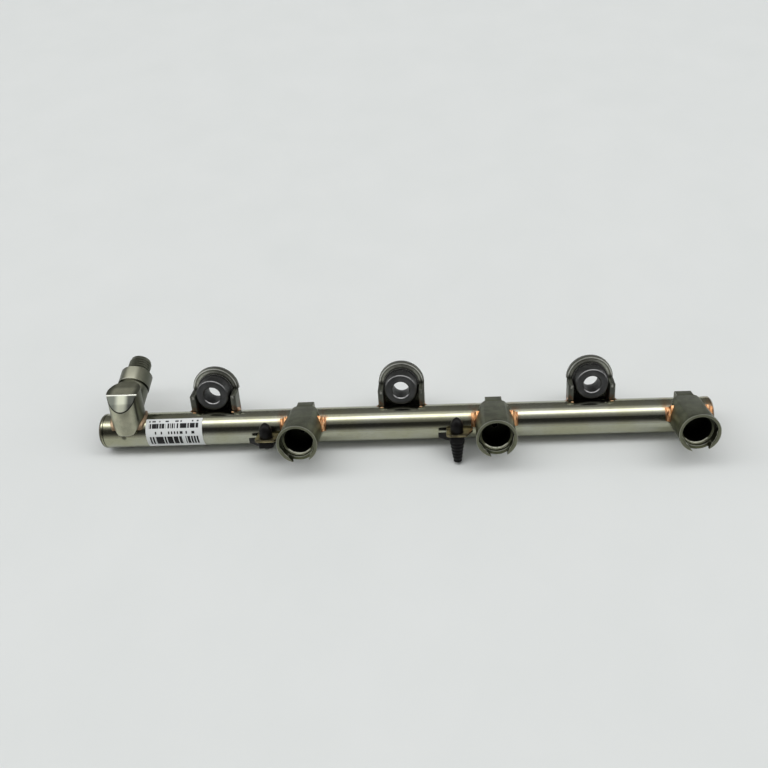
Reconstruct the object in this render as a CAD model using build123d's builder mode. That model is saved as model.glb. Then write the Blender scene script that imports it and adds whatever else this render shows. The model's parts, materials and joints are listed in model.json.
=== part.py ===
from build123d import *
from math import asin, atan2, cos, degrees, hypot, radians, sin, sqrt, tan
import os

# High-pressure fuel rail for one bank of three injectors. A thick steel tube, plugged at both
# ends, carries three injector cups, three stamped brackets with a bolt bush each, an angled
# inlet fitting and two sheet tabs that hold plastic harness clips. Everything is brazed.
#
# Sizes are in millimetres. The rail lies as it rests on a flat surface: on the tube and on the
# feet of the three brackets behind it. +X runs along the tube away from the inlet, +Y runs
# from the cup mouths to the bracket plates, +Z is up, and the origin is the middle of the
# bottom of the whole rail.
#
# Most pieces are placed in rail coordinates: x along the tube, s backwards along the cup and
# bolt axes, h square to both. s and h are zero on the tube's axis.

# ---- driving dimensions -------------------------------------------------------------------

# Layout along the tube
CUP_PITCH = 103.0             # from one injector to the next
INLET_OVERHANG = 112.0        # from the first cup's axis to the end face on the inlet side
FAR_OVERHANG = 13.4           # from the last cup's axis to the other end face
BOLT_OFFSET = 50.0            # from each cup's axis to the bolt on its inlet side
INLET_SETBACK = 16.1          # from the inlet-side end face to the inlet fitting's axis
CUP_COUNT = 3

# Tube and end plugs
TUBE_R = 9.5
TUBE_WALL = 2.75
PLUG_HEAD = 3.2               # length of plug that stands outside the tube
PLUG_SPIGOT = 7.0             # length of plug inside the bore
PLUG_EDGE = 1.6               # rounding of the inlet-side plug's rim
PLUG_CHAMFER = 1.0            # chamfer of the far plug's rim
FIT_GAP = 0.05                # radial clearance that the braze metal fills

# Injector cups
CUP_R = 10.6                  # round rim at the mouth
CUP_RIM = 1.8                 # length of the rim
CUP_REACH = 28.2              # from the tube's axis forward to the mouth
CUP_H = 2.5                   # the cup axis runs this far above the tube's axis
CUP_BODY_R = 10.3             # behind the rim
CUP_LAND_H = 8.5              # flat land on top of the body, above the cup's own axis
CUP_SHOULDER_S = -1.7         # where the body's full width ends, on top of the tube
CUP_SHOULDER_HALF = 7.7
CUP_TONGUE_FOOT_S = 1.3       # where the sloping shoulders reach the tongue
CUP_TONGUE_S = 6.5            # rear end of the tongue
CUP_TONGUE_W = 9.0
CUP_BORE_R = 7.0
CUP_SOCKET_R = 8.4            # counterbore for the injector's seal
CUP_SOCKET_DEPTH = 1.9
CUP_LEAD_IN = 1.0             # length of the cone from the socket to the bore
CUP_FLOOR_S = -11.0           # bottom of the bore
CUP_RECESS_R = 9.2            # recess in the mouth face for the injector's retaining clip
CUP_RECESS_DEPTH = 2.9
NOTCH_LEFT = -2.9             # where the recess breaks out through the bottom of the rim
NOTCH_RIGHT = 5.3
RECESS_LEFT_H = -1.4          # heights at which its straight sides leave the arc
RECESS_RIGHT_H = 2.2
PORT_R = 1.6                  # drilled passages from the tube into the cups and the inlet

# Brackets and bushes
SHEET = 2.75
ARCH_R = 12.55                # rounded top of the bracket
ARCH_RISE = 0.4               # the arch is centred this far above the bolt
ARCH_EDGE = 0.5               # rounding of the arch's front edge
FOLD_R = 3.25                 # outside of the folds between the plate and its flanges
FLANGE_FRONT_S = 2.0          # front edges of the two side flanges
FLANGE_SHOULDER_H = 18.0      # top of those front edges
FLANGE_FOOT_H = 2.5           # behind the tube the flanges end here
BRACKET_FOOT = 4.4            # the plate reaches this far below the tube's axis
BRACKET_CORNER = 4.0
BUSH_R = 8.7
BUSH_TO_TUBE = 0.5            # clear space between the bush and the tube
BUSH_BORE_R = 4.5
BUSH_FRONT_S = 1.2
BUSH_PROUD = 0.4              # the bush stands this far out of the back of the plate
BUSH_COLLAR_R = 9.7
BUSH_COLLAR = 1.3
BUSH_CHAMFER = 0.7

# Inlet fitting
BAR_S = -3.1                  # upright body that saddles the tube
BAR_R = 8.8
RIDGE_S = -6.4                # ridge between the body's sloping top and the slanted flat
RIDGE_H = 24.1
SLANT_FOOT_S = -11.7          # lowest point of the slanted flat
SLANT_FOOT_H = 16.2
TONGUE_WIDE_H = 9.3           # below this the body narrows to a blunt tip on the tube's front
TONGUE_TIP_H = 2.2
TONGUE_TIP_HALF = 4.1
TOP_SLOPE = 14.0              # rise of the body's top towards the nipple
NIPPLE_ANGLE = 28.5           # above the cup axis
NIPPLE_H = 14.4               # where the nipple's axis crosses the upright body's axis
HUB_R = 8.0
HUB_END = 13.4                # distances along the nipple from that crossing
NECK_R = 7.0
COLLAR_START = 14.8
COLLAR_END = 24.7
COLLAR_R = 8.3
COLLAR_CHAMFER = 1.4
NIPPLE_END = 34.0
THREAD_ROOT_R = 5.35          # the nipple is drawn at the root of its M12 thread
NIPPLE_CHAMFER = 0.6
SEAT_R = 4.2                  # cone seat in the nipple's end
SEAT_DEPTH = 3.2

# Clip tabs and harness clips
TAB_THICK = 1.2
TAB_FRONT_S = -19.0
TAB_LEFT = 5.6                # tab edges, either side of the clip
TAB_RIGHT = 4.8
TAB_CORNER = 2.0
TAB_CUP_GAP = 0.2             # between the tab's slanted side and the cup
CLIP_FROM_CUP = (19.0, 20.3)  # each clip, on the inlet side of the first two cups
CLIP_S = -14.6
CLIP_STEM_R = 3.0
CLIP_HOLE_GAP = 0.1
CLIP_HEAD_R = 3.4
CLIP_HEAD = 8.5
CLIP_HEAD_WAIST = 4.0
CLIP_DOME = 0.65              # fullness of the dome: a half would be a plain cone
CLIP_BLOCK = 7.8
CLIP_BLOCK_DEPTH = 3.6
CLIP_WING = 6.0
CLIP_WING_THICK = 3.0
CLIP_TAIL = (1.5, 12.8)       # the first clip's ribbed tail has broken off
CLIP_TAIL_TOP_R = 4.1
CLIP_TAIL_END_R = 2.3
CLIP_RIB = 0.55
CLIP_RIB_PITCH = 2.0

# Label
LABEL_START = 26.3            # from the inlet-side end face
LABEL_LENGTH = 30.8
LABEL_THICK = 0.15
LABEL_TOP = 88.0              # degrees above level, as the rail rests
LABEL_BOTTOM = -16.0

# Braze fillets
BRAZE_CUP = (2.8, 2.2)        # along the tube, and up the wall of the piece
BRAZE_CUP_INSET = 0.5         # the wall these beads run along lies this far inside the body
BRAZE_CUP_TOP = 50.0          # degrees round the tube, up from its front
BRAZE_TAB_GAP = 0.2           # between a cup's bead and the tab beside it
BRAZE_BRACKET = (1.5, 1.5)
BRAZE_HOLLOW = 0.32           # how far the bead's face keeps out of its corner
BRAZE_INLET = 1.2
BRAZE_INLET_FOOT_H = 4.5

# ---- the rest follows from these ----------------------------------------------------------

TUBE_BORE_R = TUBE_R - TUBE_WALL
PLATE_BACK_S = TUBE_R + SHEET
LENGTH = INLET_OVERHANG + (CUP_COUNT - 1) * CUP_PITCH + FAR_OVERHANG
END_X = LENGTH / 2
TUBE_X0 = -END_X + PLUG_HEAD
TUBE_LENGTH = LENGTH - 2 * PLUG_HEAD
CUP_X = [-END_X + INLET_OVERHANG + i * CUP_PITCH for i in range(CUP_COUNT)]
BOLT_X = [x - BOLT_OFFSET for x in CUP_X]
BOLT_H = TUBE_R + BUSH_TO_TUBE + BUSH_R  # bolt axis above the tube's axis
ARCH_H = BOLT_H + ARCH_RISE
CLIP_X = [x - d for x, d in zip(CUP_X, CLIP_FROM_CUP)]
INLET_X = -END_X + INLET_SETBACK
TAB_SLANT = min(CLIP_FROM_CUP) - CUP_BODY_R - TAB_CUP_GAP  # where the slanted side ends

# The rail tips back until the lower edge of its bracket plates meets the surface that carries
# the tube: the angle at which both touch.
FOOT_REACH = hypot(PLATE_BACK_S, BRACKET_FOOT)
REST_TILT = degrees(asin(TUBE_R / FOOT_REACH) - atan2(BRACKET_FOOT, PLATE_BACK_S))


def rail_dir(angle):
    """Unit vector across the rail, at an angle above the cup axis, which points back."""
    turned = radians(angle - REST_TILT)
    return Vector(0, cos(turned), sin(turned))


# The lower tip of the cup mouths lies furthest forward and the nipple's end furthest back.
# Their mean puts the origin in the middle of the rail's depth.
def across(s, h):
    """Distance back from the tube's axis, level with the surface it rests on."""
    return (rail_dir(0) * s + rail_dir(90) * h).Y


NIPPLE_TIP_S = BAR_S + NIPPLE_END * cos(radians(NIPPLE_ANGLE))
NIPPLE_TIP_H = NIPPLE_H + NIPPLE_END * sin(radians(NIPPLE_ANGLE))
NIPPLE_FACE_R = THREAD_ROOT_R - NIPPLE_CHAMFER
REACH_FRONT = across(-CUP_REACH, CUP_H - sqrt(CUP_R**2 - NOTCH_LEFT**2))
REACH_BACK = across(NIPPLE_TIP_S, NIPPLE_TIP_H) + NIPPLE_FACE_R * abs(rail_dir(NIPPLE_ANGLE + 90).Y)
TUBE_Y = -(REACH_FRONT + REACH_BACK) / 2


def rail_point(x, s, h):
    """A point of the rail in the part's own frame."""
    return Vector(x, TUBE_Y, TUBE_R) + rail_dir(0) * s + rail_dir(90) * h


def front_plane(x, s, h):
    """Square to the cup axis and facing the mouth; sketches are drawn in x and height."""
    return Plane(origin=rail_point(x, s, h), x_dir=(1, 0, 0), z_dir=rail_dir(180))


def side_plane(x):
    """Square to the tube; sketches are drawn in s and h."""
    return Plane(origin=rail_point(x, 0, 0), x_dir=rail_dir(0), z_dir=(1, 0, 0))


def top_plane(h):
    """Parallel to the cup axis and the tube; sketches are drawn in x and s."""
    return Plane(origin=rail_point(0, 0, h), x_dir=(1, 0, 0), z_dir=rail_dir(90))


def nipple_plane(along):
    """Square to the inlet nipple, at a distance along it from the upright body's axis."""
    ahead = rail_dir(NIPPLE_ANGLE)
    crossing = rail_point(INLET_X, BAR_S, NIPPLE_H)
    return Plane(origin=crossing + ahead * along, x_dir=(1, 0, 0), z_dir=ahead)


TUBE_AXIS = Axis(origin=rail_point(0, 0, 0), direction=(1, 0, 0))
BOLT_DIRECTION = Axis(origin=(0, 0, 0), direction=rail_dir(0))
NIPPLE_DIRECTION = Axis(origin=(0, 0, 0), direction=rail_dir(NIPPLE_ANGLE))


def tube_round(x, half):
    """The tube's own round, to be taken out of a piece that seats on it."""
    with BuildPart() as core:
        with BuildSketch(side_plane(x - half)):
            Circle(TUBE_R)
        extrude(amount=2 * half)
    return core.part


def cup_passage(x):
    """Drilling along the cup axis, from the bottom of the cup's bore into the tube."""
    with BuildPart() as drill:
        with BuildSketch(front_plane(x, CUP_FLOOR_S, CUP_H)):
            Circle(PORT_R)
        extrude(amount=CUP_FLOOR_S)
    return drill.part


def inlet_passage():
    """Drilling down the inlet's upright body into the tube."""
    with BuildPart() as drill:
        with BuildSketch(top_plane(0)):
            with Locations((INLET_X, BAR_S)):
                Circle(PORT_R)
        extrude(amount=NIPPLE_H)
    return drill.part


def finish(builder, name):
    """Label a finished piece and write it."""
    builder.part.label = name
    export_step(builder.part, f"parts/{name}.step")


# ---- tube and end plugs -------------------------------------------------------------------

def make_tube():
    with BuildPart() as tube:
        with BuildSketch(side_plane(TUBE_X0)):
            Circle(TUBE_R)
            Circle(TUBE_BORE_R, mode=Mode.SUBTRACT)
        extrude(amount=TUBE_LENGTH)
        for x in CUP_X:
            add(cup_passage(x), mode=Mode.SUBTRACT)
        add(inlet_passage(), mode=Mode.SUBTRACT)
    return tube


def make_plug(side):
    """Turned plug: a head as wide as the tube and a spigot that is brazed into the bore."""
    with BuildPart() as plug:
        with BuildSketch(side_plane(side * (END_X - PLUG_HEAD))):
            Circle(TUBE_R)
        extrude(amount=side * PLUG_HEAD)
        rim = plug.edges().sort_by(Axis.X)[-1 if side > 0 else 0]
        if side > 0:
            chamfer(rim, PLUG_CHAMFER)
        else:
            fillet(rim, PLUG_EDGE)
        with BuildSketch(side_plane(side * (END_X - PLUG_HEAD))):
            Circle(TUBE_BORE_R - FIT_GAP)
        extrude(amount=-side * PLUG_SPIGOT)
    return plug


# ---- injector cups ------------------------------------------------------------------------

def cup_body_section():
    """Round, with a flat land on top."""
    Circle(CUP_BODY_R)
    with Locations((0, CUP_LAND_H + CUP_BODY_R)):
        Rectangle(2 * CUP_BODY_R, 2 * CUP_BODY_R, mode=Mode.SUBTRACT)


def cup_rear(x):
    """The cup on top of the tube: sloping shoulders, then a narrow tongue."""
    tongue = CUP_TONGUE_W / 2
    with BuildPart() as rear:
        with BuildSketch(front_plane(x, CUP_SHOULDER_S, CUP_H)):
            cup_body_section()
        extrude(amount=CUP_SHOULDER_S - CUP_TONGUE_S)
        with BuildSketch(top_plane(0)):
            with BuildLine():
                Polyline(
                    (x - CUP_SHOULDER_HALF, CUP_SHOULDER_S),
                    (x - tongue, CUP_TONGUE_FOOT_S),
                    (x - tongue, CUP_TONGUE_S),
                    (x + tongue, CUP_TONGUE_S),
                    (x + tongue, CUP_TONGUE_FOOT_S),
                    (x + CUP_SHOULDER_HALF, CUP_SHOULDER_S),
                    close=True,
                )
            make_face()
        extrude(amount=CUP_H + CUP_LAND_H, mode=Mode.INTERSECT)
    return rear.part


def recess_outline():
    """Mouth recess: an arc over the top, straight sides that run out through the bottom."""
    left = (-sqrt(CUP_RECESS_R**2 - RECESS_LEFT_H**2), RECESS_LEFT_H)
    right = (sqrt(CUP_RECESS_R**2 - RECESS_RIGHT_H**2), RECESS_RIGHT_H)
    bottom = -CUP_R

    def run_on(start, notch_x):
        """Carry a straight side on to a little below the rim."""
        notch_h = -sqrt(CUP_R**2 - notch_x**2)
        share = (bottom - CUP_RIM - start[1]) / (notch_h - start[1])
        return (start[0] + (notch_x - start[0]) * share, bottom - CUP_RIM)

    with BuildLine() as outline:
        ThreePointArc(left, (0, CUP_RECESS_R), right)
        Polyline(right, run_on(right, NOTCH_RIGHT), run_on(left, NOTCH_LEFT), left)
    make_face(outline.edges())


def cup_bore(x):
    """Stepped bore for the injector's seal, turned about the cup's axis."""
    socket_s = -CUP_REACH + CUP_RECESS_DEPTH
    lead_s = socket_s + CUP_SOCKET_DEPTH
    with BuildPart() as bore:
        with BuildSketch(side_plane(x)):
            with BuildLine():
                Polyline(
                    (-CUP_REACH, CUP_H),
                    (-CUP_REACH, CUP_H + CUP_SOCKET_R),
                    (lead_s, CUP_H + CUP_SOCKET_R),
                    (lead_s + CUP_LEAD_IN, CUP_H + CUP_BORE_R),
                    (CUP_FLOOR_S, CUP_H + CUP_BORE_R),
                    (CUP_FLOOR_S, CUP_H),
                    close=True,
                )
            make_face()
        revolve(axis=Axis(origin=rail_point(x, 0, CUP_H), direction=rail_dir(0)))
    return bore.part


def make_cup(x):
    with BuildPart() as cup:
        with BuildSketch(front_plane(x, -CUP_REACH, CUP_H)):
            cup_body_section()
        extrude(amount=-CUP_REACH - CUP_SHOULDER_S)
        with BuildSketch(front_plane(x, -CUP_REACH, CUP_H)):
            Circle(CUP_R)
        extrude(amount=-CUP_RIM)
        add(cup_rear(x))
        add(tube_round(x, 2 * CUP_R), mode=Mode.SUBTRACT)
        with BuildSketch(front_plane(x, -CUP_REACH, CUP_H)):
            recess_outline()
        extrude(amount=-CUP_RECESS_DEPTH, mode=Mode.SUBTRACT)
        add(cup_bore(x), mode=Mode.SUBTRACT)
        add(cup_passage(x), mode=Mode.SUBTRACT)
    return cup


# ---- brackets and bushes ------------------------------------------------------------------

def bracket_channel(x):
    """Folded channel: back plate and two flanges, their folds rounded on the outside."""
    depth = PLATE_BACK_S - FLANGE_FRONT_S
    with BuildPart() as channel:
        with BuildSketch(top_plane(-BRACKET_FOOT)):
            with Locations((x, PLATE_BACK_S - depth)):
                RectangleRounded(2 * ARCH_R, 2 * depth, FOLD_R)
            with Locations((x, TUBE_R - depth)):
                Rectangle(2 * (ARCH_R - SHEET), 2 * depth, mode=Mode.SUBTRACT)
        extrude(amount=BRACKET_FOOT + ARCH_H)
        with BuildSketch(side_plane(x - ARCH_R)):
            with BuildLine():
                Polyline(
                    (PLATE_BACK_S, ARCH_H),
                    (TUBE_R, ARCH_H),
                    (FLANGE_FRONT_S, FLANGE_SHOULDER_H),
                    (FLANGE_FRONT_S, FLANGE_FOOT_H),
                    (TUBE_R, FLANGE_FOOT_H),
                    (TUBE_R, -BRACKET_FOOT),
                    (PLATE_BACK_S, -BRACKET_FOOT),
                    close=True,
                )
            make_face()
        extrude(amount=2 * ARCH_R, mode=Mode.INTERSECT)
    return channel.part


def make_bracket(x):
    """Stamped bracket: a channel that straddles the tube, its plate arched over the bolt."""
    height = BRACKET_FOOT + ARCH_H + ARCH_R
    with BuildPart() as bracket:
        with BuildSketch(front_plane(x, TUBE_R, ARCH_H)):
            Circle(ARCH_R)
            with Locations((0, -ARCH_R)):
                Rectangle(2 * ARCH_R, 2 * ARCH_R, mode=Mode.SUBTRACT)
        extrude(amount=-SHEET)
        arcs = bracket.edges().filter_by(GeomType.CIRCLE)
        fillet(arcs.sort_by(BOLT_DIRECTION)[0], ARCH_EDGE)
        add(bracket_channel(x))
        with BuildSketch(front_plane(x, FLANGE_FRONT_S, 0)):
            with Locations((0, height - BRACKET_FOOT)):
                RectangleRounded(2 * ARCH_R, 2 * height, BRACKET_CORNER)
        extrude(amount=FLANGE_FRONT_S - PLATE_BACK_S, mode=Mode.INTERSECT)
        add(tube_round(x, 2 * ARCH_R), mode=Mode.SUBTRACT)
        with BuildSketch(front_plane(x, TUBE_R, BOLT_H)):
            Circle(BUSH_R)
        extrude(amount=-SHEET, mode=Mode.SUBTRACT)
    return bracket


def make_bush(x):
    """Turned spacer for the fixing bolt, with a collar that seats on the plate."""
    back_s = PLATE_BACK_S + BUSH_PROUD
    with BuildPart() as bush:
        with BuildSketch(front_plane(x, BUSH_FRONT_S, BOLT_H)):
            Circle(BUSH_R)
        extrude(amount=-(back_s - BUSH_FRONT_S))
        with BuildSketch(front_plane(x, TUBE_R, BOLT_H)):
            Circle(BUSH_COLLAR_R)
        extrude(amount=BUSH_COLLAR)
        with BuildSketch(front_plane(x, BUSH_FRONT_S, BOLT_H)):
            Circle(BUSH_BORE_R)
        extrude(amount=-(back_s - BUSH_FRONT_S), mode=Mode.SUBTRACT)
        front = bush.faces().sort_by(BOLT_DIRECTION)[0]
        chamfer(front.edges(), BUSH_CHAMFER)
        back = bush.faces().sort_by(BOLT_DIRECTION)[-1]
        chamfer(back.inner_wires().edges(), BUSH_CHAMFER)
    return bush


# ---- inlet fitting ------------------------------------------------------------------------

def inlet_front_stock():
    """Stock milled off the upright body, outside its slanted flat and its sloping top."""
    fall = (RIDGE_H - SLANT_FOOT_H) / (RIDGE_S - SLANT_FOOT_S)
    rise = tan(radians(TOP_SLOPE))
    over = 3 * BAR_R
    with BuildPart() as stock:
        with BuildSketch(side_plane(INLET_X - over)):
            with BuildLine():
                Polyline(
                    (RIDGE_S, RIDGE_H),
                    (RIDGE_S - BAR_R, RIDGE_H - fall * BAR_R),
                    (RIDGE_S - BAR_R, RIDGE_H + over),
                    (RIDGE_S + over, RIDGE_H + over),
                    (RIDGE_S + over, RIDGE_H + rise * over),
                    close=True,
                )
            make_face()
        extrude(amount=2 * over)
    return stock.part


def inlet_upright():
    """Upright body: round, narrowing below to a blunt tongue on the front of the tube."""
    with BuildPart() as upright:
        with BuildSketch(top_plane(0)):
            with Locations((INLET_X, BAR_S)):
                Circle(BAR_R)
        extrude(amount=RIDGE_H + BAR_R)
        with BuildSketch(front_plane(INLET_X, BAR_S - BAR_R, 0)):
            with BuildLine():
                Polyline(
                    (-BAR_R, RIDGE_H + BAR_R),
                    (-BAR_R, TONGUE_WIDE_H),
                    (-TONGUE_TIP_HALF, TONGUE_TIP_H),
                    (TONGUE_TIP_HALF, TONGUE_TIP_H),
                    (BAR_R, TONGUE_WIDE_H),
                    (BAR_R, RIDGE_H + BAR_R),
                    close=True,
                )
            outline = make_face()
            fillet(outline.vertices().group_by(Axis.Y)[0], TONGUE_TIP_HALF / 2)
        extrude(amount=-2 * BAR_R, mode=Mode.INTERSECT)
        with BuildSketch(nipple_plane(HUB_END)):
            Circle(3 * BAR_R)
        extrude(amount=2 * BAR_R, mode=Mode.SUBTRACT)
    return upright.part


def make_inlet():
    """Forged body that saddles the tube, with a turned nipple for the supply pipe."""
    with BuildPart() as inlet:
        with BuildSketch(nipple_plane(0)):
            Circle(HUB_R)
        extrude(amount=HUB_END)
        add(inlet_upright())
        add(inlet_front_stock(), mode=Mode.SUBTRACT)
        with BuildSketch(nipple_plane(HUB_END)):
            Circle(NECK_R)
        extrude(amount=COLLAR_START - HUB_END)
        with BuildSketch(nipple_plane(COLLAR_START)):
            Circle(COLLAR_R)
        extrude(amount=COLLAR_END - COLLAR_START)
        collar_face = inlet.faces().sort_by(NIPPLE_DIRECTION)[-1]
        chamfer(collar_face.edges(), COLLAR_CHAMFER)
        with BuildSketch(nipple_plane(COLLAR_END)):
            Circle(THREAD_ROOT_R)
        extrude(amount=NIPPLE_END - COLLAR_END)
        end_face = inlet.faces().sort_by(NIPPLE_DIRECTION)[-1]
        chamfer(end_face.edges(), NIPPLE_CHAMFER)
        add(tube_round(INLET_X, 2 * BAR_R), mode=Mode.SUBTRACT)
        with BuildSketch(nipple_plane(NIPPLE_END)):
            Circle(SEAT_R)
        with BuildSketch(nipple_plane(NIPPLE_END - SEAT_DEPTH)):
            Circle(PORT_R)
        loft(mode=Mode.SUBTRACT)
        with BuildSketch(nipple_plane(0)):
            Circle(PORT_R)
        extrude(amount=NIPPLE_END, mode=Mode.SUBTRACT)
        add(inlet_passage(), mode=Mode.SUBTRACT)
    return inlet


# ---- clip tabs and harness clips ----------------------------------------------------------

def make_tab(x):
    """Sheet tab brazed edge-on to the front of the tube; its slanted side runs to the cup."""
    with BuildPart() as tab:
        with BuildSketch(top_plane(-TAB_THICK / 2)):
            with BuildLine():
                Polyline(
                    (x - TAB_LEFT, TAB_FRONT_S),
                    (x - TAB_LEFT, 0),
                    (x + TAB_SLANT, 0),
                    (x + TAB_SLANT, CLIP_S + TAB_CORNER),
                    (x + TAB_RIGHT, TAB_FRONT_S),
                    close=True,
                )
            outline = make_face()
            fillet(outline.vertices().group_by(Axis.Y)[0], TAB_CORNER)
            with Locations((x, CLIP_S)):
                Circle(CLIP_STEM_R + CLIP_HOLE_GAP, mode=Mode.SUBTRACT)
        extrude(amount=TAB_THICK)
        add(tube_round(x, 2 * TAB_SLANT), mode=Mode.SUBTRACT)
    return tab


def clip_tail_profile(tail):
    """Corners of the ribbed tail's edge, from the locking block down to its blunt end."""
    top = -TAB_THICK / 2 - CLIP_BLOCK_DEPTH
    corners = []
    for i in range(int(tail // CLIP_RIB_PITCH)):
        drop = i * CLIP_RIB_PITCH
        rib_r = CLIP_TAIL_TOP_R + (CLIP_TAIL_END_R - CLIP_TAIL_TOP_R) * drop / tail
        corners.append((CLIP_S + rib_r, top - drop))
        corners.append((CLIP_S + rib_r - CLIP_RIB, top - drop - CLIP_RIB_PITCH / 2))
    corners.append((CLIP_S + CLIP_TAIL_END_R, top - tail + CLIP_RIB))
    corners.append((CLIP_S + CLIP_TAIL_END_R - CLIP_RIB, top - tail))
    corners.append((CLIP_S, top - tail))
    return corners


def make_clip(x, tail):
    """Moulded harness clip: domed head above the tab, locking block, wing and ribbed tail."""
    top = TAB_THICK / 2
    waist = top + CLIP_HEAD_WAIST
    dome_s = CLIP_S + CLIP_HEAD_R * CLIP_DOME
    dome_h = waist + (CLIP_HEAD - CLIP_HEAD_WAIST) * CLIP_DOME
    tail_corners = clip_tail_profile(tail)
    with BuildPart() as clip:
        with BuildSketch(side_plane(x)):
            with BuildLine():
                ThreePointArc(
                    (CLIP_S, top + CLIP_HEAD),
                    (dome_s, dome_h),
                    (CLIP_S + CLIP_HEAD_R, waist),
                )
                Polyline(
                    (CLIP_S + CLIP_HEAD_R, waist),
                    (CLIP_S + CLIP_HEAD_R, top),
                    (CLIP_S + CLIP_STEM_R, top),
                    (CLIP_S + CLIP_STEM_R, -top - CLIP_BLOCK_DEPTH),
                    *tail_corners,
                    (CLIP_S, top + CLIP_HEAD),
                )
            make_face()
        revolve(axis=Axis(origin=rail_point(x, CLIP_S, 0), direction=rail_dir(90)))
        with BuildSketch(top_plane(-top)):
            with Locations((x, CLIP_S)):
                RectangleRounded(CLIP_BLOCK, CLIP_BLOCK, CLIP_BLOCK / 6)
        extrude(amount=-CLIP_BLOCK_DEPTH)
        with BuildSketch(top_plane(-top)):
            with BuildLine():
                Polyline(
                    (x - CLIP_STEM_R, CLIP_S - CLIP_BLOCK / 3),
                    (x - CLIP_STEM_R, CLIP_S + CLIP_BLOCK / 3),
                    (x - CLIP_BLOCK / 2 - CLIP_WING, CLIP_S + CLIP_BLOCK / 4),
                    close=True,
                )
            make_face()
        extrude(amount=-CLIP_WING_THICK)
    return clip


# ---- label --------------------------------------------------------------------------------

def make_label():
    """Paper label wrapped round the front and top of the tube."""
    x0 = -END_X + LABEL_START
    low = radians(LABEL_BOTTOM)
    start = Vector(0, -cos(low), sin(low))
    plane = Plane(origin=rail_point(x0, 0, 0), x_dir=(1, 0, 0), z_dir=Vector(1, 0, 0).cross(start))
    with BuildPart() as label:
        with BuildSketch(plane):
            with Locations((LABEL_LENGTH / 2, TUBE_R + LABEL_THICK / 2)):
                Rectangle(LABEL_LENGTH, LABEL_THICK)
        revolve(axis=TUBE_AXIS, revolution_arc=LABEL_BOTTOM - LABEL_TOP)
    return label


# ---- braze fillets ------------------------------------------------------------------------

def braze_run(x, side, legs, angle_from, angle_to):
    """Concave fillet round part of the tube, against an upright wall at x.

    The angles are measured up from the front of the tube, square to it.
    """
    along = side * legs[0]
    top = TUBE_R + legs[1]
    start = rail_dir(180 - angle_from)
    plane = Plane(origin=rail_point(x, 0, 0), x_dir=(1, 0, 0), z_dir=Vector(1, 0, 0).cross(start))
    with BuildPart() as bead:
        with BuildSketch(plane):
            with BuildLine():
                Polyline((along, TUBE_R), (-along, TUBE_R), (-along, top), (0, top))
                ThreePointArc(
                    (0, top),
                    (along * BRAZE_HOLLOW, TUBE_R + legs[1] * BRAZE_HOLLOW),
                    (along, TUBE_R),
                )
            make_face()
        revolve(axis=TUBE_AXIS, revolution_arc=angle_from - angle_to)
    return bead.part


def make_cup_braze(x, cup):
    """Beads down both sides of a cup, where it meets the front of the tube."""
    foot = degrees(asin((TAB_THICK / 2 + BRAZE_TAB_GAP) / TUBE_R))
    wall = CUP_BODY_R - BRAZE_CUP_INSET
    with BuildPart() as braze:
        for side in (-1, 1):
            add(braze_run(x + side * wall, side, BRAZE_CUP, foot, BRAZE_CUP_TOP))
        add(cup.part, mode=Mode.SUBTRACT)
    return braze


def make_bracket_braze(x, bracket):
    """Beads along the outside of a bracket's flanges, from their front edges to their feet."""
    front = 90 + degrees(asin(FLANGE_FRONT_S / TUBE_R))
    back = 180 - degrees(asin(FLANGE_FOOT_H / TUBE_R))
    with BuildPart() as braze:
        for side in (-1, 1):
            add(braze_run(x + side * ARCH_R, side, BRAZE_BRACKET, front, back))
        add(bracket.part, mode=Mode.SUBTRACT)
    return braze


def make_inlet_braze(inlet, tube):
    """Bead all round the upright body, where it saddles the tube."""
    with BuildPart() as braze:
        with BuildSketch(side_plane(INLET_X - BAR_R - BRAZE_INLET)):
            Circle(TUBE_R + BRAZE_INLET)
        extrude(amount=2 * (BAR_R + BRAZE_INLET))
        chamfer(braze.edges().filter_by(GeomType.CIRCLE), BRAZE_INLET)
        with BuildSketch(top_plane(BRAZE_INLET_FOOT_H)):
            with Locations((INLET_X, BAR_S)):
                Circle(BAR_R + BRAZE_INLET)
        extrude(amount=TUBE_R + BRAZE_INLET, mode=Mode.INTERSECT)
        add(tube.part, mode=Mode.SUBTRACT)
        add(tube_round(INLET_X, 2 * BAR_R), mode=Mode.SUBTRACT)
        add(inlet.part, mode=Mode.SUBTRACT)
    return braze


os.makedirs("parts", exist_ok=True)
tube = make_tube()
finish(tube, "rail_tube")
finish(make_plug(-1), "end_plug_inlet_side")
finish(make_plug(1), "end_plug_far_side")
inlet = make_inlet()
finish(inlet, "inlet_fitting")
finish(make_inlet_braze(inlet, tube), "braze_inlet")
for number, x in enumerate(CUP_X, 1):
    cup = make_cup(x)
    finish(cup, f"injector_cup_{number}")
    finish(make_cup_braze(x, cup), f"braze_cup_{number}")
for number, x in enumerate(BOLT_X, 1):
    bracket = make_bracket(x)
    finish(bracket, f"mount_bracket_{number}")
    finish(make_bush(x), f"mount_bush_{number}")
    finish(make_bracket_braze(x, bracket), f"braze_bracket_{number}")
for number, (x, tail) in enumerate(zip(CLIP_X, CLIP_TAIL), 1):
    finish(make_tab(x), f"clip_tab_{number}")
    finish(make_clip(x, tail), f"harness_clip_{number}")
finish(make_label(), "label")
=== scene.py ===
# %% [markdown]
# # A fuel rail, brazed from steel
# A fuel rail feeds petrol under high pressure to the injectors of one bank of an engine. It is
# built from a thick drawn tube, machined cups, pressed brackets and turned bushes, and copper
# runs into every joint in a furnace. The solids come ready from the engineering model, true to
# size, so nothing here moves or reshapes them. This lesson gives them their finishes, adds the
# thread and the drops of copper that the solids leave out, and lights the rail on a pale bench.

import json
from functools import reduce
from math import atan2, cos, degrees, pi, radians, sin

import bpy
from mathutils import Matrix, Vector


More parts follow.
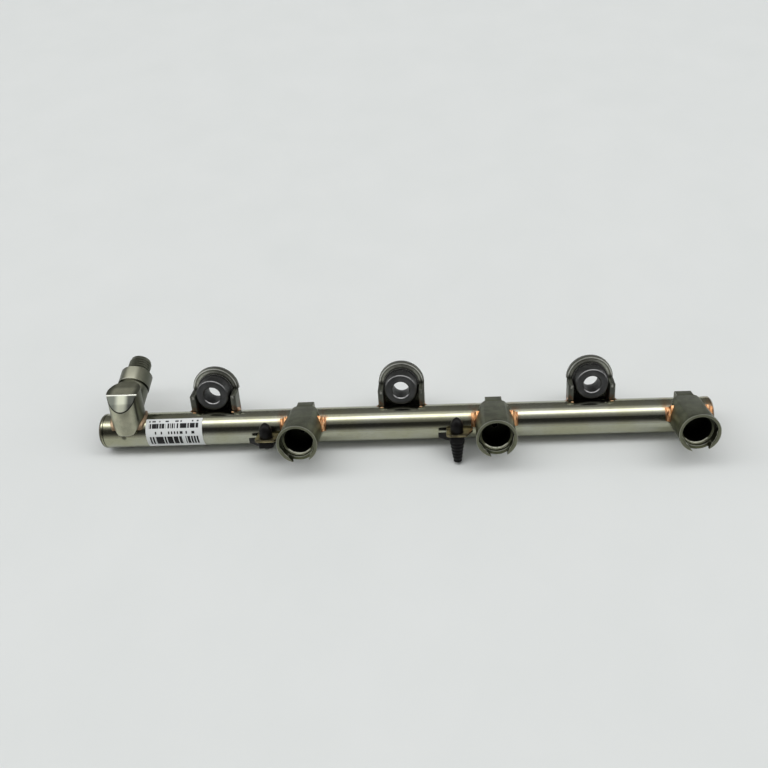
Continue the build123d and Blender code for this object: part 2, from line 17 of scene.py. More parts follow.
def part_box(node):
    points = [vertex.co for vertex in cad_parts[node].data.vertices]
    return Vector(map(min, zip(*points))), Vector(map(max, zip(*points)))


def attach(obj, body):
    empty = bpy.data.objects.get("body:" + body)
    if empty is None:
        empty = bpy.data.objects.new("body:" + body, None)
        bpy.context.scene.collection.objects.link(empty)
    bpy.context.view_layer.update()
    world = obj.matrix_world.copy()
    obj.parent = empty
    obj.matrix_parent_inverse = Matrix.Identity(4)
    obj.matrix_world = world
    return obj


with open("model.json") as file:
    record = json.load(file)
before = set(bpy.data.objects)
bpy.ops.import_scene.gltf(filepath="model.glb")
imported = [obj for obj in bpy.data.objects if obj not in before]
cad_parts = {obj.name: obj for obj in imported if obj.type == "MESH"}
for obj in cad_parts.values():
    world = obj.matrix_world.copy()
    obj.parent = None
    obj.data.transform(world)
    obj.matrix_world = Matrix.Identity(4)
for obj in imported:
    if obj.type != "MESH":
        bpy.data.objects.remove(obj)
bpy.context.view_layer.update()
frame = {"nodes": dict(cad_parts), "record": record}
solids = frame["nodes"]
print("solids:", ", ".join(sorted(solids)))

# %% [markdown]
# ## The rail's own directions
# The rail lies tipped back, so world axes are a poor guide to it. Three directions of its own
# are more useful: along the tube, back along the cup and bolt axes, and square to both. They
# could be typed in, but then they would go stale when the model changes. So the record of the
# part gives the axis of an injector bore, and the tube's box gives its middle.

# %% Three directions and the tube's axis
mounts = {mount["name"]: mount for mount in frame["record"]["mounts"]}
along = Vector((1, 0, 0))
back = -Vector(mounts["injector_bore_1"]["axis"])
upright = along.cross(back)
tipped = degrees(atan2(-back.z, back.y))


def box_of(node):
    """Lowest corner, highest corner and middle of a node, as vectors in metres."""
    low, high = (Vector(corner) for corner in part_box(node))
    return low, high, (low + high) / 2


tube_low, tube_high, tube_middle = box_of("rail_tube")
tube_radius = (tube_high.z - tube_low.z) / 2
tube_axis = Vector((0, tube_middle.y, tube_middle.z))


def on_rail(point):
    """A point's place on the rail, in millimetres: along the tube, back, and upright."""
    return tuple(1000 * (Vector(point) - tube_axis).dot(way) for way in (along, back, upright))


print("the rail is tipped back by", round(tipped, 1), "degrees")
print("tube radius in mm:", round(tube_radius * 1000, 2))

# %% [markdown]
# ## Places on the rail
# Dirt, wear and heat gather round the cups, the bolts and the inlet, so every finish has to know
# where these are. The record names the axes of the holes. Where a face starts or ends comes from
# the solid itself, by looking through its vertices for the outermost.


# %% Measure the solids, in millimetres
def reach(node):
    """Where a solid starts and ends on the rail: along the tube, back, and upright."""
    places = [on_rail(vertex.co) for vertex in solids[node].data.vertices]
    return [(min(way), max(way)) for way in zip(*places)]


def half_width(node):
    """Half of a solid's length along the tube, which is the radius of a round one."""
    left, right = reach(node)[0]
    return (right - left) / 2


cup_x = [1000 * box_of(f"injector_cup_{i}")[2].x for i in (1, 2, 3)]
bolt_x = [on_rail(mounts[f"bolt_hole_{i}"]["pos_m"])[0] for i in (1, 2, 3)]
inlet_x = on_rail(mounts["inlet_nipple"]["pos_m"])[0]
cup_h = on_rail(mounts["injector_bore_1"]["pos_m"])[2]
bolt_h = on_rail(mounts["bolt_hole_1"]["pos_m"])[2]
inlet_end_x = reach("end_plug_inlet_side")[0][0]
far_end_x = reach("end_plug_far_side")[0][1]
print("cups along the tube:", [round(x, 1) for x in cup_x], "and above its axis:", round(cup_h, 1))
print("bolts along the tube:", [round(x, 1) for x in bolt_x], "and above its axis:", round(bolt_h, 1))
print("inlet, and the two ends:", round(inlet_x, 1), round(inlet_end_x, 1), round(far_end_x, 1))

# %% [markdown]
# ## Writing finishes as sums
# A finish is a small formula over the surface: so much base metal, so much tint, where a mask
# says so. A mask is a number from 0 to 1. Each sum could be a Math node that is linked by hand,
# but a formula would then take a page. So a thin wrapper round a socket gives it Python's
# ordinary operators, and each one adds the node that it stands for. The reflected forms are
# there too, so that 1 - mask reads as it should.


# %% A socket that can be added and multiplied
class Sum:
    """One output socket of a recipe, usable in an expression."""

    def __init__(self, recipe, socket):
        self.recipe = recipe
        self.socket = socket

    def math(self, operation, *values):
        """Add one Math node that works on these values."""
        sockets = dict(enumerate(values))
        return self.recipe.node("ShaderNodeMath", {"operation": operation}, sockets)

    def __add__(self, other):
        return self.math("ADD", self, other)

    __radd__ = __add__

    def __sub__(self, other):
        return self.math("SUBTRACT", self, other)

    def __rsub__(self, other):
        return self.math("SUBTRACT", other, self)

    def __mul__(self, other):
        return self.math("MULTIPLY", self, other)

    __rmul__ = __mul__

    def __truediv__(self, other):
        return self.math("DIVIDE", self, other)

    def __rtruediv__(self, other):
        return self.math("DIVIDE", other, self)

    def __neg__(self):
        return self.math("MULTIPLY", self, -1.0)

    def __abs__(self):
        return self.math("ABSOLUTE", self)


def list_words(kind):
    """Print the methods of a class that are called by name."""
    print(kind.__name__, "knows:", ", ".join(word for word in vars(kind) if word[0] != "_"))


list_words(Sum)

# %% [markdown]
# ## Soft steps and bands
# Some sums have no operator, so they get a word each. The most useful are the soft step, which
# tells where a mask starts or ends, and the band between two steps. Compared with a plain
# greater-than, a soft step keeps the edge of a stain from looking cut out with scissors.


# %% Words for masks
class Wire(Sum):
    """A sum that can also be turned into a mask."""

    def root(self):
        return self.math("SQRT", self)

    def whole(self):
        """The whole number below."""
        return self.math("FLOOR", self)

    def angle_over(self, level):
        """Angle in radians of a line that rises by this much over a level stretch."""
        return self.math("ARCTAN2", self, level)

    def at_least(self, other):
        return self.math("MAXIMUM", self, other)

    def at_most(self, other):
        return self.math("MINIMUM", self, other)

    def step_up(self, start, end):
        """0 below start, 1 above end, and a soft rise between them."""
        settings = {"interpolation_type": "SMOOTHSTEP"}
        sockets = {"Value": self, "From Min": start, "From Max": end}
        return self.recipe.node("ShaderNodeMapRange", settings, sockets)

    def step_down(self, start, end):
        return 1 - self.step_up(start, end)

    def band(self, low, high, soft):
        """1 between low and high, fading to 0 over soft on either side."""
        return self.step_up(low - soft, low + soft) * self.step_down(high - soft, high + soft)


def distance(first, second):
    """How far two offsets lead that are at right angles to each other."""
    return (first * first + second * second).root()


list_words(Wire)

# %% [markdown]
# ## One node-maker
# A finish on a material and the light of the room are both trees of nodes that end in a shader.
# Every kind of node that isn't a plain sum comes from a single method, which takes the node's
# type, its settings and what goes into its sockets. Settings are made first, because some of
# them change which sockets a node has. Each node could have a few lines of its own instead, but
# then the nodes would hide the finish. A Mix node has its two colours at places 6 and 7 and the
# mixed colour at place 2, because its numbers and vectors come first.

# %% A tree of nodes
COLOUR_A, COLOUR_B, MIXED_COLOUR = 6, 7, 2


def set_stops(ramp, stops):
    """Give a colour ramp its stops. It starts with two."""
    while len(ramp.elements) < len(stops):
        ramp.elements.new(0.5)
    for element, (position, colour) in zip(ramp.elements, stops):
        element.position = position
        element.color = (*colour, 1.0)


class Recipe:
    """A tree of nodes under construction: one shader, and whatever feeds it."""

    def __init__(self, tree, shader, output):
        self.tree = tree
        tree.nodes.clear()
        surface = self.node(shader)
        self.node(output, None, {"Surface": surface})
        self.shader = surface.socket.node

    def feed(self, socket, value):
        """Link a wire to a socket, or set the socket to a number, a vector or a colour."""
        if isinstance(value, Wire):
            self.tree.links.new(value.socket, socket)
        elif isinstance(value, (int, float)) or len(value) == len(socket.default_value):
            socket.default_value = value
        else:
            socket.default_value = (*value, 1.0)

    def node(self, kind, settings=None, sockets=None, output=0):
        """Make one node and give back one of its outputs, if it has any."""
        made = self.tree.nodes.new(kind)
        for setting, value in (settings or {}).items():
            if setting == "stops":
                set_stops(made.color_ramp, value)
            else:
                setattr(made, setting, value)
        for socket, value in (sockets or {}).items():
            self.feed(made.inputs[socket], value)
        return Wire(self, made.outputs[output]) if made.outputs else None

    def vector_math(self, operation, first, second, output=0):
        sockets = {0: first, 1: second}
        return self.node("ShaderNodeVectorMath", {"operation": operation}, sockets, output)

    def mix(self, mask, first, second):
        """The first colour where the mask is 0 and the second where it is 1."""
        sockets = {"Factor": mask, COLOUR_A: first, COLOUR_B: second}
        return self.node("ShaderNodeMix", {"data_type": "RGBA"}, sockets, MIXED_COLOUR)

    def shade(self, **sockets):
        """Feed the shader's own sockets, written with _ for a space."""
        for socket, value in sockets.items():
            self.feed(self.shader.inputs[socket.replace("_", " ")], value)


list_words(Recipe)

# %% [markdown]
# ## A finish that knows the rail
# A finish starts as one colour and gets others painted over it, each through a mask. It also
# knows the rail's directions, so a mask can speak of millimetres along the tube or back from its
# axis. Painted textures could carry the same marks, but they would need an unwrapped surface,
# and they blur when the camera comes close. Formulas over the place do neither.


# %% The finish
class Finish(Recipe):
    """A material under construction, with one principled shader."""

    def __init__(self, name, colour, **shader_values):
        self.material = bpy.data.materials.new(name)
        self.material.use_nodes = True
        tree = self.material.node_tree
        super().__init__(tree, "ShaderNodeBsdfPrincipled", "ShaderNodeOutputMaterial")
        self.shade(**shader_values)
        self.colour = colour
        self.roughness = 0.5
        point = self.node("ShaderNodeTexCoord", output="Object")
        from_axis = self.vector_math("SUBTRACT", point, tube_axis)
        self.place = [
            1000 * self.vector_math("DOT_PRODUCT", from_axis, way, "Value")
            for way in (along, back, upright)
        ]

    def beside(self, centres):
        """Distance along the tube to the nearest of some places, in millimetres."""
        x = self.place[0]
        return reduce(Wire.at_most, [abs(x - centre) for centre in centres])

    def noise(self, size_mm, detail=2.0, stretch=(1.0, 1.0, 1.0), twist=0.0):
        """Cloudy value from 0 to 1. Its patches are about size_mm across, over stretch."""
        scaled = [way * (share / size_mm) for way, share in zip(self.place, stretch)]
        point = self.node("ShaderNodeCombineXYZ", None, dict(enumerate(scaled)))
        sockets = {"Vector": point, "Scale": 1.0, "Detail": detail, "Distortion": twist}
        return self.node("ShaderNodeTexNoise", None, sockets)

    def paint(self, mask, colour):
        """Lay a colour over what is there, where the mask is 1."""
        self.colour = self.mix(mask, self.colour, colour)

    def bump(self, height, depth_mm):
        """Let the surface catch light as if it rose by depth_mm where height is 1."""
        sockets = {"Height": height, "Distance": depth_mm / 1000}
        self.shade(Normal=self.node("ShaderNodeBump", None, sockets))

    def done(self):
        """Feed the finished colour and roughness to the shader."""
        self.shade(Base_Color=self.colour, Roughness=self.roughness)
        print(self.material.name, "has", len(self.tree.nodes), "nodes")


list_words(Finish)

# %% [markdown]
# ## Corners and edges, found by the shader
# Corners get painted shade, and edges are painted bright, partly as wear from handling and
# partly as painted highlight. Both could be painted by hand for each solid, but the shader can
# find them. Ambient occlusion asks how much of the sky a point sees within a short reach, which
# is little in a corner. The Bevel node rounds the normal near an edge, so wherever it parts from
# the true normal there is an edge.

# %% Masks from the shape
SAMPLES = 6
ROUNDED, FACING = 0.82, 0.97


def open_air(finish, reach_mm):
    """1 on an open face, falling to 0 in corners and holes narrower than reach_mm."""
    sockets = {"Distance": reach_mm / 1000}
    return finish.node("ShaderNodeAmbientOcclusion", {"samples": SAMPLES}, sockets, "AO")


def edges(finish, radius_mm):
    """1 along the edges of a solid, where a rounded normal parts from the true one."""
    true_normal = finish.node("ShaderNodeNewGeometry", output="True Normal")
    sockets = {"Radius": radius_mm / 1000}
    rounded = finish.node("ShaderNodeBevel", {"samples": SAMPLES}, sockets)
    alike = finish.vector_math("DOT_PRODUCT", true_normal, rounded, "Value")
    return alike.step_down(ROUNDED, FACING)


print("samples for each corner or edge:", SAMPLES)

# %% [markdown]
# ## Smooth rounds and broken edges
# The solids arrive as flat facets. Real machined edges are broken by a few tenths of a
# millimetre, and that narrow band is what catches the light. Modifiers can add both without
# moving the solids' own vertices: weld the facets together, bevel whatever is sharp, and split
# the shading only where the surface really turns.

# %% Dress the solids
WELD_MM = 0.001


def numbered(name, count):
    """Names of a piece that comes more than once."""
    return [f"{name}_{i}" for i in range(1, count + 1)]


def split_shading(piece, sharp):
    """Shade a piece smoothly, apart from edges of over sharp degrees."""
    split = piece.modifiers.new("sharp shading", "EDGE_SPLIT")
    split.split_angle = radians(sharp)


def dress(names, finish, edge_mm=0.2, sharp=35):
    """Give solids their finish, smooth rounds and a bevel on edges of over sharp degrees."""
    for name in names:
        solid = solids[name]
        solid.data.materials.clear()
        solid.data.materials.append(finish.material)
        solid.data.polygons.foreach_set("use_smooth", [True] * len(solid.data.polygons))
        weld = solid.modifiers.new("weld", "WELD")
        weld.merge_threshold = WELD_MM / 1000
        if edge_mm:
            bevel = solid.modifiers.new("broken edges", "BEVEL")
            bevel.limit_method = "ANGLE"
            bevel.angle_limit = radians(sharp)
            bevel.width = edge_mm / 1000
            bevel.segments = 2
        split_shading(solid, sharp)
    print(finish.material.name, "on:", ", ".join(names))


print("first of the cups:", numbered("injector_cup", 3)[0])

# %% [markdown]
# ## Drawn steel for the tube
# The tube is bright drawn steel that has been through a brazing furnace. Its grain runs along
# it, and the furnace has left a faint straw tint in clouds. A metal has no colour but that of
# its reflections, so base colour and roughness carry all of this. The grain is a noise that is
# stretched along the tube, because real grain has no pattern that repeats.

# %% Tube steel
STEEL = (0.40, 0.405, 0.33)
STRAW = (0.37, 0.37, 0.26)
FLECKED = (0.20, 0.19, 0.13)

tube_steel = Finish("tube_steel", STEEL, Metallic=1.0)
grain = tube_steel.noise(1.0, detail=3.0, stretch=(0.04, 5.0, 5.0))
clouds = tube_steel.noise(14.0, detail=3.0)
flecks = tube_steel.noise(0.8, detail=4.0, stretch=(0.5, 1.0, 1.0))
tube_steel.paint(clouds.step_up(0.3, 0.7), STRAW)
tube_steel.paint(flecks.step_up(0.45, 0.75) * 0.22, FLECKED)
tube_steel.roughness = 0.13 + 0.07 * grain + 0.04 * clouds
tube_steel.bump(grain, depth_mm=0.004)
print("tube steel is laid on, without its stains")

# %% [markdown]
# ## Stains and painted shade on the tube
# Beside each cup the heat of the joint has browned the steel. The plug at the inlet end has a
# darker rim and the far one a scorched rim, a dark seam shows where the first plug meets the tube,
# and a spot of painted shadow lies in front of the inlet, under the tip of its body. Corners where
# parts meet the tube get painted shade. They could be painted by hand, but a mask from distances
# stays in its place on the rail when the model changes. Each pair of numbers is where a soft step
# or a band starts and ends, in millimetres.

# %% Heat, rims, seam, spot and corners
BROWNED = (0.36, 0.19, 0.10)
DARK_RIM = (0.07, 0.06, 0.045)
SCORCHED_RIM = (0.16, 0.09, 0.05)
# Near black: the dark seam's own colour, and also painted shade and painted shadow.
GRIME_AND_SHADE = (0.02, 0.02, 0.015)
HEAT_BESIDE_CUP, HEAT_UP, HEAT_BACK = (9.0, 13.5), (3.5, 9.2), (2.0, 5.0)
DARK_FROM_END, SCORCHED_FROM_END = (1.3, 1.8), (1.3, 1.6)
SEAM_FROM_END, SEAM_HALF = 2.4, (0.12, 0.4)
SPOT_BEFORE_INLET, SPOT_R, SPOT_BACK = 2.1, (0.7, 1.7), (-7.0, -5.0)

x, s, h = tube_steel.place
heat = tube_steel.beside(cup_x).band(*HEAT_BESIDE_CUP, 1.5) * h.band(*HEAT_UP, 1.5)
heat = heat * s.step_down(*HEAT_BACK) * tube_steel.noise(2.5, detail=3.0).step_up(0.3, 0.6)
from_inlet_end, from_far_end = x - inlet_end_x, far_end_x - x
# A spot of painted shadow on the tube, under the tip of the inlet's body.
shadow_spot = distance(x - inlet_x + SPOT_BEFORE_INLET, h).step_down(*SPOT_R) * s.step_down(*SPOT_BACK)
seam = abs(from_inlet_end - SEAM_FROM_END).step_down(*SEAM_HALF)
tube_steel.paint(heat * 0.7, BROWNED)
# The rim of the plug at the inlet end is painted darker and browner.
tube_steel.paint(from_inlet_end.step_down(*DARK_FROM_END) * 0.88, DARK_RIM)
tube_steel.paint(from_far_end.step_down(*SCORCHED_FROM_END) * 0.6, SCORCHED_RIM)
tube_steel.paint(shadow_spot * 0.75, GRIME_AND_SHADE)
tube_steel.paint(seam * 0.9, GRIME_AND_SHADE)
# Painted shade in the corners where parts meet the tube.
tube_steel.paint(open_air(tube_steel, reach_mm=2.2).step_down(0.35, 0.8), GRIME_AND_SHADE)
tube_steel.done()
dress(["rail_tube"], tube_steel, edge_mm=0)
dress(["end_plug_inlet_side", "end_plug_far_side"], tube_steel)

# %% [markdown]
# ## Machined steel
# Everything that isn't drawn tube is cut, turned or pressed. Such steel is duller than the tube
# and shows fine tool marks. Its edges are painted bright, partly as wear from handling and partly
# as painted highlight, and its corners and holes get painted shade. All of this is the same on
# every piece, so it could be copied from finish to finish. A class that holds it once is shorter,
# and each piece then paints on what is its own.

# %% A machined steel
# Pale for edges worn by handling, also used as a painted highlight.
WEAR_AND_HIGHLIGHT = (0.78, 0.78, 0.70)
# Near black, for painted shade in holes and for a black line at the foot of the inlet's flat.
NEAR_BLACK = (0.006, 0.006, 0.005)


class MachinedSteel(Finish):
    """Steel with tool marks, edges worn and painted bright, and painted shade in corners and holes.
    """

    def __init__(self, name, pale, dark, roughness, stretch, depth_mm=0.02):
        super().__init__(name, pale, Metallic=1.0)
        marks = self.noise(1.0, detail=3.0, stretch=stretch)
        clouds = self.noise(5.0, detail=5.0)
        pits = self.noise(0.3, detail=2.0)
        speckle = pits.step_up(0.45, 0.7) * marks.step_up(0.3, 0.6)
        corner = open_air(self, reach_mm=1.6)
        self.roughness = roughness + 0.12 * marks + 0.08 * clouds
        self.paint(clouds.step_up(0.3, 0.7), dark)
        self.paint(speckle * 0.4, tuple(0.45 * value for value in dark))
        # Edges painted bright: partly wear, partly painted highlight.
        self.paint(edges(self, radius_mm=0.35) * corner.step_up(0.6, 0.8), WEAR_AND_HIGHLIGHT)
        # Painted shade in corners.
        self.paint(corner.step_down(0.25, 0.7), GRIME_AND_SHADE)
        # Painted shade, near black, deep in holes.
        self.paint_shade_black(open_air(self, reach_mm=14.0).step_down(0.08, 0.42))
        self.bump(marks * 0.5 + pits * 0.5, depth_mm)

    def paint_shade_black(self, mask):
        """Painted shade where the mask is 1: near black, and too dull to mirror anything at a low
        angle.
        """
        self.paint(mask, NEAR_BLACK)
        self.roughness = self.roughness.at_least(mask)


list_words(MachinedSteel)

# %% [markdown]
# ## The injector cups
# A cup is milled from bar, so its marks run across the flat land on top. The mouth is turned
# last and stays brighter, with a thin line round its rim that is worn and painted bright, and
# painted shade in the groove behind it.
# Separate solids could carry separate materials, but a cup is one solid, so distances from its
# own axis and its mouth say where each part of it is.

# %% The outside of a cup
cup_r = half_width("injector_cup_1")
mouth_s = reach("injector_cup_1")[1][0]
CUP_PALE, CUP_DARK = (0.132, 0.139, 0.084), (0.085, 0.089, 0.055)
TURNED = (0.20, 0.205, 0.145)
RECESS_R = 9.2
FACE_DEPTH = (0.1, 0.5)
RIM_DEPTH, RIM_INWARD = (0.25, 0.6), (0.2, 0.35)
GROOVE_DEPTH, GROOVE_R = (1.6, 2.0), (8.6, 9.0)

cup_steel = MachinedSteel(
    "cup_steel", CUP_PALE, CUP_DARK, roughness=0.33, stretch=(0.3, 4.0, 4.0), depth_mm=0.03
)
x, s, h = cup_steel.place
depth = s - mouth_s
rise = h - cup_h
radius = distance(cup_steel.beside(cup_x), rise)
face = depth.step_down(*FACE_DEPTH) * radius.step_up(RECESS_R - 0.3, RECESS_R)
rim = depth.step_down(*RIM_DEPTH) * (cup_r - radius).step_down(*RIM_INWARD)
groove = depth.band(*GROOVE_DEPTH, 0.15) * radius.step_up(*GROOVE_R)
cup_steel.paint(face * 0.8, TURNED)
# A thin line round the rim, worn and painted bright as highlight.
cup_steel.paint(rim * 0.22, WEAR_AND_HIGHLIGHT)
# Painted shade in the groove behind the rim.
cup_steel.paint(groove * 0.8, GRIME_AND_SHADE)
print("cup mouth: radius", round(cup_r, 1), "and", round(-mouth_s, 1), "mm before the tube's axis")

# %% [markdown]
# ## Inside a cup
# The bore is oily, and it is painted black as shade, as is the upper part of the seat. Only the
# step where the injector's seal sits catches the light, low in the mouth and in short glints.
# Lamps aimed into each mouth would be one way to get them, but they are painted instead, as a
# broken pale line of painted glints that shows from any side.

# %% The bore and its glints
BORE_R = mounts["injector_bore_1"]["dims"]["r_mm"]
BORE_FLOOR_S, LAND_RISE, SEAL_R = -11.0, 8.5, 8.4
SEAT_SHADE = (0.03, 0.03, 0.022)
PAINTED_GLINT = (0.60, 0.61, 0.50)
WALL, BORE_LINE, SEAL_LINE = (0.35, 0.7), (0.35, 0.95), (0.05, 0.3)
SEAT_DEPTH, SEAT_RISE = (0.3, 8.2), (-3.0, 4.0)
GLINT_RISE = (-5.6, -4.6)

from_bore = radius - BORE_R
above_floor = s.step_down(BORE_FLOOR_S - 1.0, BORE_FLOOR_S + 1.0)
below_land = rise.step_down(LAND_RISE - 0.5, LAND_RISE - 0.2)
seat = from_bore.band(0.5, RECESS_R - BORE_R - 0.05, 0.1) * depth.band(*SEAT_DEPTH, 0.2)
glints = from_bore.band(*BORE_LINE, 0.1) + (radius - SEAL_R).band(*SEAL_LINE, 0.08) * 0.6
broken = 0.35 + 0.65 * cup_steel.noise(1.3).step_up(0.3, 0.5)
# Painted shade: the bore painted black.
cup_steel.paint_shade_black(from_bore.step_down(*WALL) * above_floor)
# Painted shade on the upper part of the seat.
cup_steel.paint(seat * below_land * rise.step_up(*SEAT_RISE) * 0.8, SEAT_SHADE)
# Painted glints low in the mouth.
cup_steel.paint(glints * rise.step_down(*GLINT_RISE) * broken, PAINTED_GLINT)
cup_steel.done()
dress(numbered("injector_cup", 3), cup_steel, edge_mm=0.25, sharp=20)

# %% [markdown]
# ## The mounting brackets
# The brackets are pressed from sheet, with the two flanges folded forward. Rings round the arch
# are painted: a band of painted shade, a paler band of wear and painted highlight, a bright
# painted highlight and a dark painted outline at the edge. Rings could be cut into the mesh, but
# bands of the distance from the bolt draw them.

# %% Bracket steel and its rings
arch_r = half_width("mount_bracket_1")
ARCH_RISE = 0.4
BRACKET_PALE, BRACKET_DARK = (0.58, 0.59, 0.50), (0.42, 0.43, 0.36)
SHADED, ARCH_HIGHLIGHT, SHADED_OUTLINE = (0.07, 0.072, 0.055), (0.95, 0.96, 0.90), (0.05, 0.052, 0.04)
SHADED_RING, WORN_HIGHLIGHT_RING = (1.15, 1.6), (2.1, 2.55)
HIGHLIGHT_RING, OUTLINE_RING = (0.43, 0.93), (0.23, 0.37)

bracket_steel = MachinedSteel(
    "bracket_steel", BRACKET_PALE, BRACKET_DARK, roughness=0.3, stretch=(0.5, 3.0, 3.0), depth_mm=0.03
)


def round_bolt(finish, lift_mm=0.0):
    """Distance from the nearest bolt's axis, or from one a little above it."""
    return distance(finish.beside(bolt_x), finish.place[2] - (bolt_h + lift_mm))


above_bolt = bracket_steel.place[2] - bolt_h
inward = arch_r - round_bolt(bracket_steel, ARCH_RISE)
arch = above_bolt.step_up(-1.5, 0.5)
patchy = bracket_steel.noise(1.8, detail=3.0).step_up(0.3, 0.6)
# Painted shade in a band on the arch.
bracket_steel.paint(inward.band(*SHADED_RING, 0.15) * arch * 0.85, SHADED)
# A paler band, worn and painted as highlight.
bracket_steel.paint(inward.band(*WORN_HIGHLIGHT_RING, 0.2) * arch * patchy, WEAR_AND_HIGHLIGHT)
# A bright painted highlight round the arch.
bracket_steel.paint(inward.band(*HIGHLIGHT_RING, 0.12) * arch * (0.65 + 0.35 * patchy), ARCH_HIGHLIGHT)
# A dark painted outline of shade at the arch's edge.
bracket_steel.paint(inward.step_down(*OUTLINE_RING) * arch * 0.93, SHADED_OUTLINE)
print("radius of the arch in mm:", round(arch_r, 2))

# %% [markdown]
# ## Flanges and folds
# The flanges turn away from the light, so they are painted darker as painted shade. The furnace
# has scorched their feet, and the top of each fold is painted bright, partly as wear and partly
# as painted highlight. These are places and not shapes, so masks from the distance to the bolt
# and the height find them.

# %% The flanges, then all three brackets
SHADED_FLANGE, SCORCHED = (0.095, 0.10, 0.083), (0.22, 0.09, 0.045)
FLANGE_OUT, FLANGE_TOP = (9.0, 9.8), (1.0, 3.0)
SCORCH_TOP = (11.0, 14.0)
FOLD_OUT, FOLD_UP = (10.3, 11.4), (-2.4, -0.8)

out = bracket_steel.beside(bolt_x)
flange = out.step_up(*FLANGE_OUT) * above_bolt.step_down(*FLANGE_TOP)
scorch = flange * bracket_steel.place[2].step_down(*SCORCH_TOP)
scorch = scorch * bracket_steel.noise(2.2, detail=3.0).step_up(0.4, 0.65)
fold = out.band(*FOLD_OUT, 0.3) * above_bolt.band(*FOLD_UP, 0.5)
# Painted shade on the flanges.
bracket_steel.paint(flange * 0.88, SHADED_FLANGE)
bracket_steel.paint(scorch * 0.6, SCORCHED)
# The top of each fold, worn and painted as highlight.
bracket_steel.paint(fold * patchy * 0.85, WEAR_AND_HIGHLIGHT)
bracket_steel.done()
dress(numbered("mount_bracket", 3), bracket_steel, edge_mm=0.25)

# %% [markdown]
# ## The bushes
# The bushes are turned and left a darker grey, and their holes get painted shade. Two chamfers
# get a painted highlight: the outer one at the top, and the mouth of the hole at the bottom. Three
# bushes could have three materials, but one is enough, because the distance is always measured
# from the nearest bolt.

# %% Bush steel
BOLT_HOLE_R = mounts["bolt_hole_1"]["dims"]["r_mm"]
BUSH_R = 8.7
BUSH_PALE, BUSH_DARK = (0.098, 0.099, 0.098), (0.068, 0.069, 0.069)
CHAMFER_HIGHLIGHT = (0.45, 0.45, 0.45)
CHAMFER_INWARD, CHAMFER_UP = (0.1, 0.5), (2.0, 5.0)
HOLE_MOUTH, HOLE_WALL, MOUTH_UP = (0.15, 0.5), (0.1, 0.3), (-3.2, -2.2)
bush_front_s = reach("mount_bush_1")[1][0]

bush_steel = MachinedSteel(
    "bush_steel", BUSH_PALE, BUSH_DARK, roughness=0.32, stretch=(3.0, 0.3, 3.0)
)
from_bolt = round_bolt(bush_steel)
from_hole = from_bolt - BOLT_HOLE_R
above_bolt = bush_steel.place[2] - bolt_h
front = bush_steel.place[1].step_down(bush_front_s + 1.0, bush_front_s + 1.4)
upper = (BUSH_R - from_bolt).band(*CHAMFER_INWARD, 0.1) * above_bolt.step_up(*CHAMFER_UP)
lower = from_hole.band(*HOLE_MOUTH, 0.08) * above_bolt.step_down(*MOUTH_UP)
patchy = 0.3 + 0.7 * bush_steel.noise(1.5).step_up(0.3, 0.55)
# Painted shade in the hole.
bush_steel.paint_shade_black(from_hole.step_down(*HOLE_WALL) * 0.4)
# Painted highlights on the two chamfers.
bush_steel.paint((upper * 0.3).at_least(lower * 0.7) * front * patchy, CHAMFER_HIGHLIGHT)
bush_steel.done()
dress(numbered("mount_bush", 3), bush_steel)

# %% [markdown]
# ## The clip tabs
# The two tabs are thin sheet with a yellowish coat. They have no marks of their own, so the
# plain machined steel, with its edges worn and painted bright and its painted shade in corners, is
# enough once it has their colours.

# %% Tab steel
TAB_PALE, TAB_DARK = (0.36, 0.31, 0.17), (0.12, 0.10, 0.055)

tab_steel = MachinedSteel("tab_steel", TAB_PALE, TAB_DARK, roughness=0.33, stretch=(1.0, 1.0, 1.0))
tab_steel.done()
dress(numbered("clip_tab", 2), tab_steel)

# %% [markdown]
# ## The inlet's body
# The inlet is milled from one bar: an upright round body that saddles the tube, and a nipple
# that leans back from it. Its flanks and its rear get painted shade, and its turned collar gets a
# painted highlight down the middle and painted shade on its left. The record gives the nipple's
# axis, and the distance out along that axis finds the collar.

# %% Inlet steel, its flanks and its collar
nipple = mounts["inlet_nipple"]
nipple_axis = Vector(nipple["axis"])
nipple_lean = atan2(nipple_axis.dot(upright), nipple_axis.dot(back))
BODY_S, NIPPLE_H = -3.1, 14.4
COLLAR_START, COLLAR_END, COLLAR_CHAMFER = 14.8, 24.7, 1.2
FITTING_PALE, FITTING_DARK = (0.56, 0.56, 0.42), (0.42, 0.42, 0.31)
SHADED_REAR, SHADED_FLANK = (0.14, 0.145, 0.11), (0.085, 0.09, 0.068)
COLLAR_HIGHLIGHT, COLLAR_SHADE = (0.84, 0.84, 0.66), (0.09, 0.095, 0.07)
REAR_SLOPE, REAR_BACK, FLANK_OUT = 0.3, (-9.0, -7.0), (4.5, 7.5)
BRIGHT_MIDDLE, BRIGHT_HALF, DARK_LEFT = 1.0, (1.2, 4.0), (-4.0, -1.8)

fitting_steel = MachinedSteel(
    "fitting_steel", FITTING_PALE, FITTING_DARK, roughness=0.3, stretch=(2.5, 0.6, 0.6), depth_mm=0.03
)
x, s, h = fitting_steel.place
from_middle = x - inlet_x
sideways = abs(from_middle)
out = s - BODY_S
ahead = out * cos(nipple_lean) + (h - NIPPLE_H) * sin(nipple_lean)
collar = ahead.band(COLLAR_START, COLLAR_END - COLLAR_CHAMFER, 0.3)
bright_line = abs(from_middle - BRIGHT_MIDDLE).step_down(*BRIGHT_HALF)
# Painted shade on the rear of the body.
fitting_steel.paint((s - h * REAR_SLOPE).step_up(*REAR_BACK) * 0.55, SHADED_REAR)
# Painted shade on the flanks.
fitting_steel.paint(sideways.step_up(*FLANK_OUT) * 0.85, SHADED_FLANK)
